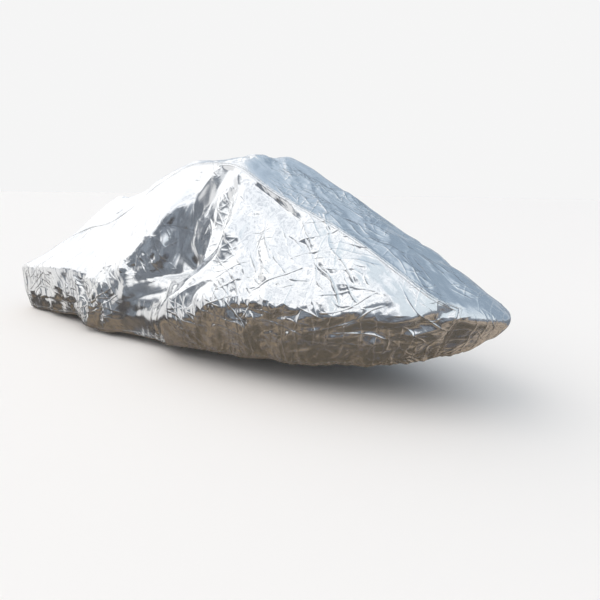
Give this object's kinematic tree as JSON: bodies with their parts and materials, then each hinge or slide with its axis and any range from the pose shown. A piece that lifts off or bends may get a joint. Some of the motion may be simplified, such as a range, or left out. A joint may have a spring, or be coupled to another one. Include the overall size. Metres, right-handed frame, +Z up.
{
  "type": "fitted boat cover",
  "caption": "Fitted silver-coated cloth cover for a small sit-on watercraft: hollow, open below, draped over seat, handlebar and hood, drawn in at its gathered hem.",
  "frame": {"origin": "the handlebar rest: the point on the middle of the handlebar line that the top panel's underside lies on", "axes": "+X to the bow, +Y to port, +Z up"},
  "size_m": [3.5036, 1.2167, 1.0882],
  "materials": {
    "silver_cloth": "silver-coated woven polyester, a soft metallic gloss, creased all over"
  },
  "bodies": {
    "root": {"top_panel": "silver_cloth", "starboard_panel": "silver_cloth", "port_panel": "silver_cloth"}
  },
  "joints": []
}
